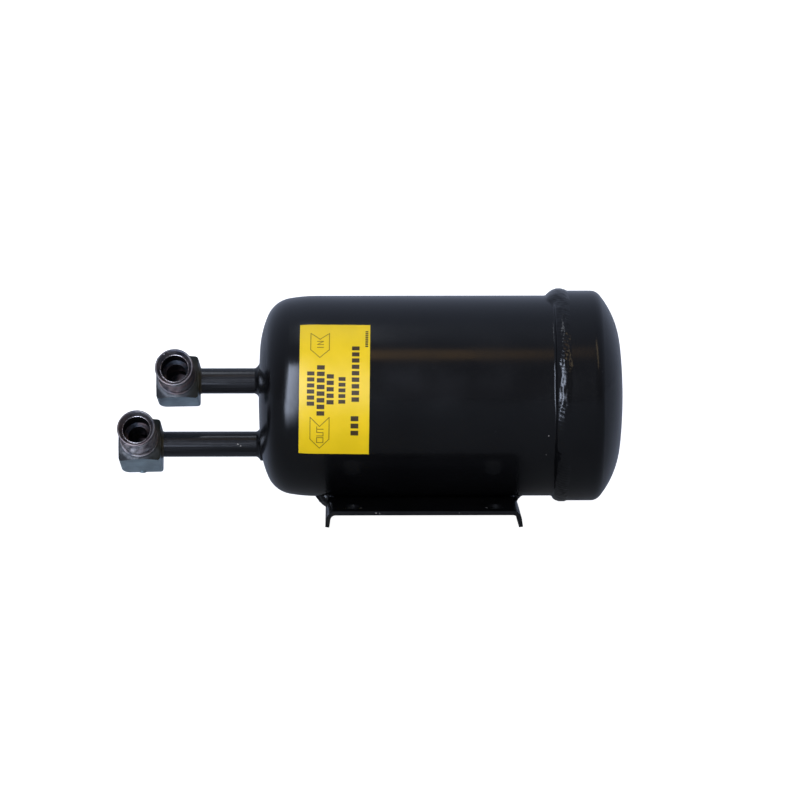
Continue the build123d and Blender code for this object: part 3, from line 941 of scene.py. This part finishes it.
def port_finishes(side, boss, look, lip, bore):
    """A port's materials in the order of its zones, from its own and the two that both share."""
    dull, bright = np.array(look.blotch_color), np.array(look.steel_color)
    wall = port_steel(side + "_boss_steel", look, bright * WALL_SHADES[side], dull, scale=240.0,
                      roughness=0.42)
    # The inlet's rim has two white spots painted as glints
    glints = [(off_boss(boss, *place), radius * MM) for *place, radius in RIM_GLINTS]
    mouth = port_steel(side + "_mouth_steel", look, bright * MOUTH_SHADE, dull * TARNISH_SHADE,
                       scale=190.0, roughness=0.32, marks=glints if side == "inlet" else ())
    step = port_steel(side + "_step_steel", look, *np.outer(STEP_SHADES, bright), scale=300.0,
                      roughness=0.16)
    return [port_enamel(side + "_block_enamel", look, boss.base), wall, mouth, lip, bore,
            floor_lit_face(side + "_floor_lit_face", look, off_boss(boss, *BLOCK_MIDDLE)), step]


class DRIER_OT_ports(bpy.types.Operator):
    """Cuts the threads of the two elbow fittings and finishes their steel"""

    bl_idname = "drier.ports"
    bl_label = "Ports"

    def execute(self, context):
        look = context.scene.drier_port
        bright, shadowed = np.array(look.steel_color), np.array(look.bore_color)
        lip = port_steel("lip_steel", look, bright * LIP_SHADE, bright, scale=500.0, roughness=0.20)
        # The bore's wall is dark as painted shade inside the port
        bore = port_steel("bore_steel", look, shadowed * BORE_SHADE_LIFT, shadowed, scale=300.0, roughness=0.30)
        for side in ("inlet", "outlet"):
            boss = boss_of(side)
            inward, down = (np.array(MOUTH_STEPS) * MM).T
            profile = np.stack([boss.radius - inward, boss.length + MOUTH_RISE - down], axis=1)
            fitting, zones = cut_fitting(side, boss, *profile[-1])
            thread = thread_skin(boss, look.pitch, look.depth)
            rim = turned_skin(boss, profile)
            ring_zones = [LIP if ring in LIP_RINGS else MOUTH for ring in range(len(inward) - 1)]
            zones = np.concatenate([
                zones, np.full(len(thread[1]), WALL),
                np.repeat(ring_zones, len(rim[1]) // len(ring_zones))])
            finishes = port_finishes(side, boss, look, lip, bore)
            add_piece(side + "_port", *joined([fitting, thread, rim]), finishes, "worn_steel",
                      (side + "_fitting",), crease=40, zones=zones)
            if side == "outlet":
                # The drip takes the pale finish painted as the floor's light on the block's lower faces
                drip = blob(off_boss(boss, *DRIP_PLACE), DRIP_HALF_SIZES)
                add_piece("paint_drip", *drip, finishes[FACE], "worn_steel")
        return {"FINISHED"}


class DRIER_OT_brazes(bpy.types.Operator):
    """Finishes the brazed joints at both ends of the tubes"""

    bl_idname = "drier.brazes"
    bl_label = "Brazes"

    def execute(self, context):
        at_head = enamel("head_braze_enamel", context.scene.drier_paint, gloss=0.9, haze=3.0)
        flux = plain_finish("flux_stain", (0.010, 0.010, 0.007), (0.035, 0.030, 0.018), 500.0, 0.35,
                            0.15 * MM)
        for side in ("inlet", "outlet"):
            finish_node(side + "_head_braze", at_head)
            finish_node(side + "_fitting_braze", flux)
        return {"FINISHED"}


# ------------------------------------------------------------------ label
LABEL_MIDDLE_X = sum(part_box("label"), Vector()).x / 2
LABEL_ANGLE = np.radians(11.5)
LABEL_GAP, INK_RISE = 0.005 * MM, 0.015 * MM

# The can's wall runs straight from its open rim, and eases inwards where its head begins
CAP_LAP, STRAIGHT_WALL, EASE_RADIUS = 11.5 * MM, 132.0 * MM, 79.0 * MM
EASE_START = CAP_RIM_X + CAP_LAP - STRAIGHT_WALL

# Generic print, in millimetres right and down from the label's middle. Rows of blocks: left, right,
# top, bottom and how many. Arrows: left, right, top, bottom, and the depths of notch and tip.
PRINT_ROWS = (
    (-13.4, -9.8, -8.1, 9.7, 6), (-8.6, -4.8, -11.3, 14.6, 8), (-3.8, -0.3, -6.8, 9.0, 5),
    (2.0, 5.4, -5.4, 8.5, 5), (8.4, 12.1, -21.5, 7.6, 9), (8.1, 11.9, 13.6, 24.6, 3),
    (14.9, 16.3, -30.4, -20.6, 8),
)
ARROWS = ((-11.8, -2.7, -28.6, -14.9, 3.6, 4.2), (-11.7, -2.4, 14.8, 31.0, 4.6, 5.0))
LINE_WIDTH = 0.42

# Where a block starts and ends, as shares of its step in the row
BLOCK_START, BLOCK_END = 0.12, 0.80

# Thin strokes of the plain flow marks IN and OUT, read from below, in the same millimetres
FLOW_MARKS = (
    ((-8.5, -20.4), (-5.6, -20.4)),
    ((-8.5, -22.0), (-5.6, -22.0)), ((-8.5, -22.0), (-5.6, -23.8)), ((-8.5, -23.8), (-5.6, -23.8)),
    ((-8.4, 27.9), (-5.3, 27.9)), ((-8.4, 25.2), (-5.3, 25.2)), ((-8.4, 27.9), (-8.4, 25.2)),
    ((-5.3, 27.9), (-5.3, 25.2)),
    ((-8.4, 24.3), (-5.3, 24.3)), ((-8.4, 22.5), (-5.3, 22.5)), ((-5.3, 24.3), (-5.3, 22.5)),
    ((-8.4, 22.0), (-8.4, 19.6)), ((-8.4, 20.8), (-5.3, 20.8)),
)


def can_radius(x):
    """Radius of the can at x: straight, then easing inwards on a large arc towards its head."""
    past = np.clip(EASE_START - x, 0, EASE_RADIUS / 4)
    return CAN_RADIUS - (EASE_RADIUS - np.sqrt(EASE_RADIUS**2 - past**2))


def on_label(u, v, lift, skew):
    """Points lifted off the can at u to the right and v down from the label's middle, skewed."""
    x = LABEL_MIDDLE_X + u * np.cos(skew) - v * np.sin(skew)
    down = u * np.sin(skew) + v * np.cos(skew)
    return around_can(x, can_radius(x) + lift, LABEL_ANGLE - down / CAN_RADIUS)


def label_patch(corners, low, high, skew, columns, rows):
    """A thin slab over the label between four corners, by bilinear interpolation between them."""
    a, b, c, d = np.array(corners, dtype=float) * MM
    s = np.linspace(0, 1, columns)[None, :, None]
    t = np.linspace(0, 1, rows)[:, None, None]
    flat = (a * (1 - s) + b * s) * (1 - t) + (d * (1 - s) + c * s) * t
    u, v = flat[..., 0], flat[..., 1]
    return slab(on_label(u, v, high, skew), on_label(u, v, low, skew))


def block_row(left, right, top, bottom, count):
    """Corners of a row of plain blocks, evenly spaced from top to bottom between two columns."""
    pitch = (bottom - top) / count
    starts = top + (np.arange(count) + BLOCK_START) * pitch
    ends = top + (np.arange(count) + BLOCK_END) * pitch
    return [((left, start), (right, start), (right, end), (left, end))
            for start, end in zip(starts, ends)]


def stroke_bars(strokes, width):
    """Corners of one thin bar along each stroke, lengthened by half its width at both ends."""
    bars = []
    for here, there in strokes:
        a, b = np.array(here), np.array(there)
        along = (b - a) / np.linalg.norm(b - a) * width / 2
        across = np.array((-along[1], along[0]))
        bars.append((a - along - across, b + along - across, b + along + across, a - along + across))
    return bars


def arrow_strokes(left, right, top, bottom, notch, tip):
    """Strokes of a broad arrow that points down: a notched tail, two straight sides and a point."""
    middle = (left + right) / 2
    outline = [(left, top), (middle, top + notch), (right, top), (right, bottom - tip),
               (middle, bottom), (left, bottom - tip)]
    return list(zip(outline, outline[1:] + outline[:1]))


class DRIER_OT_label(bpy.types.Operator):
    """Sticks on the film label, with generic blocks and arrows for its print"""

    bl_idname = "drier.label"
    bl_label = "Label"

    def execute(self, context):
        look = context.scene.drier_label
        film = plain_finish("label_film", np.array(look.film_color) * 0.94, look.film_color, 90.0,
                            0.32, 0.02 * MM)
        ink = plain_finish("label_ink", look.ink_color, np.array(look.ink_color) * 1.5, 400.0, 0.40,
                           0.01 * MM)
        line = plain_finish("label_line", look.line_color, np.array(look.line_color) * 1.2, 400.0,
                            0.40, 0.01 * MM)
        right, down = look.width / 2 / MM, look.height / 2 / MM
        corners = ((-right, -down), (right, -down), (right, down), (-right, down))
        sheet = label_patch(corners, LABEL_GAP, look.thickness, look.skew, 40, 120)
        add_piece("label_film", *sheet, film, "label_paper", ("label",))
        levels = look.thickness / 2, look.thickness + INK_RISE, look.skew
        blocks = [label_patch(corners, *levels, 3, 4)
                  for row in PRINT_ROWS for corners in block_row(*row)]
        add_piece("label_blocks", *joined(blocks), ink, "label_paper")
        strokes = sum((arrow_strokes(*arrow) for arrow in ARROWS), list(FLOW_MARKS))
        bars = [label_patch(corners, *levels, 10, 3) for corners in stroke_bars(strokes, LINE_WIDTH)]
        add_piece("label_arrows", *joined(bars), line, "label_paper")
        return {"FINISHED"}


class DRIER_OT_filter_pack(bpy.types.Operator):
    """Finishes the screens, felts, desiccant, spring and strainer inside the can"""

    bl_idname = "drier.filter_pack"
    bl_label = "Filter pack"

    def execute(self, context):
        steel = plain_finish("bright_steel", (0.42, 0.42, 0.43), (0.58, 0.58, 0.59), 300.0, 0.28,
                             0.02 * MM, metallic=1.0)
        felt = plain_finish("felt_fibre", (0.55, 0.53, 0.48), (0.80, 0.79, 0.74), 700.0, 0.85,
                            0.4 * MM)
        beads = plain_finish("desiccant_beads", (0.52, 0.45, 0.34), (0.76, 0.70, 0.58), 350.0, 0.75,
                             0.6 * MM)
        mesh = plain_finish("strainer_wire", (0.42, 0.32, 0.12), (0.70, 0.56, 0.26), 1500.0, 0.35,
                            0.05 * MM, metallic=1.0)
        finishes = {
            "inlet_screen": steel, "outlet_screen": steel, "pack_spring": steel,
            "inlet_felt": felt, "outlet_felt": felt, "desiccant_bed": beads,
            "pickup_strainer": mesh,
        }
        for name, material in finishes.items():
            finish_node(name, material)
        return {"FINISHED"}


# ------------------------------------------------------------------ studio
MIDDLE = Vector((0, 0, AXIS_Z))
FLOOR_Z = CAD_BOX[0][2]
RAY_KINDS = ("camera", "diffuse", "glossy")

# How high the shade and the window's light lie over the floor, and the shade's edges: how far inside
# the foot's ends, and where its near one is
SHADE_LIFT, GLOW_LIFT, SHADE_INSET, SHADE_NEAR = np.array((0.2, 0.4, 4.0, -2.0)) * MM

# Colours of the room in front and behind, and how the change between them follows how far back
# and how high a direction points
ROOM_FRONT, ROOM_BACK = (0.085, 0.088, 0.105, 1), (0.30, 0.345, 0.46, 1)
ROOM_BY_DEPTH, ROOM_BY_HEIGHT, ROOM_DARKEST, ROOM_BRIGHTEST = 0.65, 0.45, -0.3, 0.75

# Colours of the floor in front and behind, the floor behind painted paler as painted light, how far
# from the part's middle they blend, and the colours of the shade and the lamps
FLOOR_FRONT, FLOOR_BACK, FLOOR_BLEND = (0.32, 0.335, 0.36, 1), (0.54, 0.58, 0.66, 1), 0.05
SHADE = (0.02, 0.02, 0.022, 1)
SUNLIGHT, DAYLIGHT, COOL = (1.0, 0.985, 0.96), (0.70, 0.79, 1.0), (0.84, 0.91, 1.0)
AMBER, ORANGE = (1.0, 0.76, 0.42), (1.0, 0.60, 0.20)

# Lamps that only reflections show: name, place, what they face, width, height, radiance and colour
LAMPS = (
    ("window", (-1.085, -2.41, 1.16), (0, 0, 1.16), 0.69, 2.3, 8.8, DAYLIGHT),
    ("window_side", (-0.53, -2.58, 0.90), (0, 0, 0.90), 0.42, 1.8, 1.2, DAYLIGHT),
    ("overhead", (-0.185, -0.21, 1.6), (-0.185, -0.20, 0), 0.14, 0.66, 2.6, COOL),
    ("ceiling_lamp", (0.0, -0.91, 1.30), MIDDLE, 0.26, 0.30, 0.60, ORANGE),
    ("hall_lamp", (-0.05, -0.91, 1.30), MIDDLE, 0.10, 0.30, 0.45, ORANGE),
    ("side_lamp", (0.64, -0.84, 1.22), MIDDLE, 0.17, 0.8, 1.5, AMBER),
)

# Power that a lamp needs for each square metre of its face and each unit of its radiance
POWER_PER_RADIANCE = 4

# The sun gives the even light, and shows in no reflection
SUN_PLACE, SUN_STRENGTH, SUN_ANGLE = (-0.35, -2.0, 0.15), 5.2, np.radians(60)

# The window's light on the floor: its start, its span of angles, its reach, and where it is full
GLOW_START = Vector((-0.070, -0.047, FLOOR_Z + GLOW_LIFT))
GLOW_ANGLES, GLOW_REACH, GLOW_FULL = (14, 36), (0.08, 2.4), 0.27
GLOW_RADIANCE = 7.5

# How far left of the can's middle and below it the camera aims
AIM_LEFT, AIM_DOWN = 11.0 * MM, 2.15 * MM


def aimed(name, data, place, target):
    """Adds a light or camera at a place, turned so that it looks at the target."""
    thing = linked(name, data)
    thing.location = place
    thing.rotation_euler = (Vector(target) - Vector(place)).to_track_quat("-Z", "Y").to_euler()
    return thing


def soft_box(name, place, target, width, height, radiance, color):
    """A rectangular lamp, seen only in reflections, whose power gives its face that radiance."""
    data = bpy.data.lights.new(name, "AREA")
    data.shape = "RECTANGLE"
    data.size, data.size_y = width, height
    data.energy = POWER_PER_RADIANCE * radiance * width * height
    data.color = color
    lamp = aimed(name, data, place, target)
    lamp.visible_diffuse = lamp.visible_camera = False


def studio_world():
    """A grey room, darkest in front and brightest behind, that the camera itself sees as white."""
    world = bpy.data.worlds.new("room")
    world.use_nodes = True
    tree = world.node_tree
    direction = add_node(tree, "ShaderNodeTexCoord").outputs["Generated"]
    parts = add_node(tree, "ShaderNodeSeparateXYZ", {0: direction}).outputs
    behind = math_node(tree, "MULTIPLY", parts["Y"], ROOM_BY_DEPTH)
    height = math_node(tree, "MULTIPLY_ADD", parts["Z"], ROOM_BY_HEIGHT, behind)
    share = range_node(tree, height, ROOM_DARKEST, ROOM_BRIGHTEST)
    seen = add_node(tree, "ShaderNodeLightPath").outputs["Is Camera Ray"]
    color = blend_colors(tree, seen, blend_colors(tree, share, ROOM_FRONT, ROOM_BACK), WHITE)
    tree.links.new(color, tree.nodes["Background"].inputs["Color"])
    bpy.context.scene.world = world


def flat_sheet(name, corners, material, seen_by=RAY_KINDS):
    """One four-sided stage sheet through the corners, seen only by the named kinds of ray.

    It casts a shadow only where scattered light sees it.
    """
    mesh = bpy.data.meshes.new(name)
    mesh.from_pydata(corners, [], [tuple(range(len(corners)))])
    mesh.materials.append(material)
    sheet = linked(name, mesh)
    for kind in RAY_KINDS:
        setattr(sheet, "visible_" + kind, kind in seen_by)
    sheet.visible_shadow = "diffuse" in seen_by


def rectangle(left, right, near, far, level):
    """Corners of a level rectangle."""
    return [(left, near, level), (right, near, level), (right, far, level), (left, far, level)]


def studio_floor(size):
    """A pale floor, painted paler behind the part than in front of it as painted light, that the camera
    sees as white.

    A small dark sheet stands for the shade under the foot.
    """
    material, tree, shader = new_material("floor_sheet", Roughness=1.0, Specular_IOR_Level=0.0,
                                          Emission_Color=WHITE)
    depth = add_node(tree, "ShaderNodeSeparateXYZ", {0: object_place(tree)}).outputs["Y"]
    share = range_node(tree, depth, -FLOOR_BLEND, FLOOR_BLEND)
    # The floor behind is painted paler, as painted light there
    color = blend_colors(tree, share, FLOOR_FRONT, FLOOR_BACK)
    tree.links.new(color, shader.inputs["Base Color"])
    seen = add_node(tree, "ShaderNodeLightPath").outputs["Is Camera Ray"]
    tree.links.new(seen, shader.inputs["Emission Strength"])
    half = size / 2
    flat_sheet("floor", rectangle(-half, half, -half, half, FLOOR_Z), material)

    shade, _, _ = new_material("shade_sheet", Roughness=0.9, Base_Color=SHADE)
    left, right = FOOT_LOW.x + SHADE_INSET, FOOT_HIGH.x - SHADE_INSET
    flat_sheet("shade", rectangle(left, right, SHADE_NEAR, FOOT_HIGH.y, FLOOR_Z + SHADE_LIFT), shade)


def window_glow():
    """The window's light on the floor, fading towards the part and seen only in reflections."""
    shine, tree, shader = new_material("window_shine", Base_Color=(0, 0, 0, 1),
                                       Emission_Color=(*DAYLIGHT, 1))
    reach = vector_node(tree, "DISTANCE", object_place(tree), GLOW_START, "Value")
    strength = range_node(tree, reach, GLOW_REACH[0], GLOW_FULL, 0.0, GLOW_RADIANCE)
    tree.links.new(strength, shader.inputs["Emission Strength"])
    (near, far), (first, last) = GLOW_REACH, np.radians(GLOW_ANGLES)
    corners = [tuple(GLOW_START - Vector((np.sin(turn), np.cos(turn), 0)) * distance)
               for distance, turn in ((near, first), (far, first), (far, last), (near, last))]
    flat_sheet("window_glow", corners, shine, ("glossy",))


def add_camera(look):
    """The camera, at its angles and distance from the point that it aims at."""
    view = Vector((np.sin(look.azimuth) * np.cos(look.elevation),
                   -np.cos(look.azimuth) * np.cos(look.elevation), np.sin(look.elevation)))
    right = Vector((np.cos(look.azimuth), np.sin(look.azimuth), 0))
    target = MIDDLE - right * AIM_LEFT - view.cross(right) * AIM_DOWN
    lens = bpy.data.cameras.new("camera")
    lens.lens = look.lens
    lens.sensor_width = 36.0
    lens.clip_end = 100.0
    return aimed("camera", lens, target + view * look.distance, target)


class DRIER_OT_studio(bpy.types.Operator):
    """Sets up the floor, the lamps and the camera"""

    bl_idname = "drier.studio"
    bl_label = "Studio"

    def execute(self, context):
        look = context.scene.drier_studio
        studio_floor(look.floor_size)
        studio_world()
        window_glow()
        sun = bpy.data.lights.new("key", "SUN")
        sun.energy, sun.angle, sun.color = SUN_STRENGTH, SUN_ANGLE, SUNLIGHT
        aimed("key", sun, SUN_PLACE, MIDDLE).visible_glossy = False
        for lamp in LAMPS:
            soft_box(*lamp)
        context.scene.camera = add_camera(look)
        context.scene.view_settings.view_transform = "Standard"
        return {"FINISHED"}


class DRIER_PT_panel(bpy.types.Panel):
    """Lists the drier's pieces and the sizes and colours that can be changed"""

    bl_idname = "DRIER_PT_panel"
    bl_label = "Receiver Drier"
    bl_space_type = "VIEW_3D"
    bl_region_type = "UI"
    bl_category = "Receiver Drier"

    def draw(self, context):
        for operator in OPERATORS:
            self.layout.operator(operator.bl_idname)
        for name, look in LOOKS.items():
            box = self.layout.box()
            box.label(text=look.__doc__)
            for key in look.__annotations__:
                box.prop(getattr(context.scene, name), key)


OPERATORS = (
    DRIER_OT_paint, DRIER_OT_cap_weld, DRIER_OT_foot_welds, DRIER_OT_ports, DRIER_OT_brazes,
    DRIER_OT_label, DRIER_OT_filter_pack, DRIER_OT_studio,
)
CLASSES = (*LOOKS.values(), *OPERATORS, DRIER_PT_panel)


def register():
    """Registers the classes and hangs the sizes and colours on the scene."""
    for entry in CLASSES:
        bpy.utils.register_class(entry)
    for name, look in LOOKS.items():
        setattr(bpy.types.Scene, name, PointerProperty(type=look))


def unregister():
    """Takes away what register added."""
    for name in LOOKS:
        delattr(bpy.types.Scene, name)
    for entry in reversed(CLASSES):
        bpy.utils.unregister_class(entry)


def main():
    """Builds every piece in order."""
    register()
    bpy.ops.drier.paint()
    bpy.ops.drier.cap_weld()
    bpy.ops.drier.foot_welds()
    bpy.ops.drier.ports()
    bpy.ops.drier.brazes()
    bpy.ops.drier.label()
    bpy.ops.drier.filter_pack()
    bpy.ops.drier.studio()


if __name__ == "__main__":
    main()
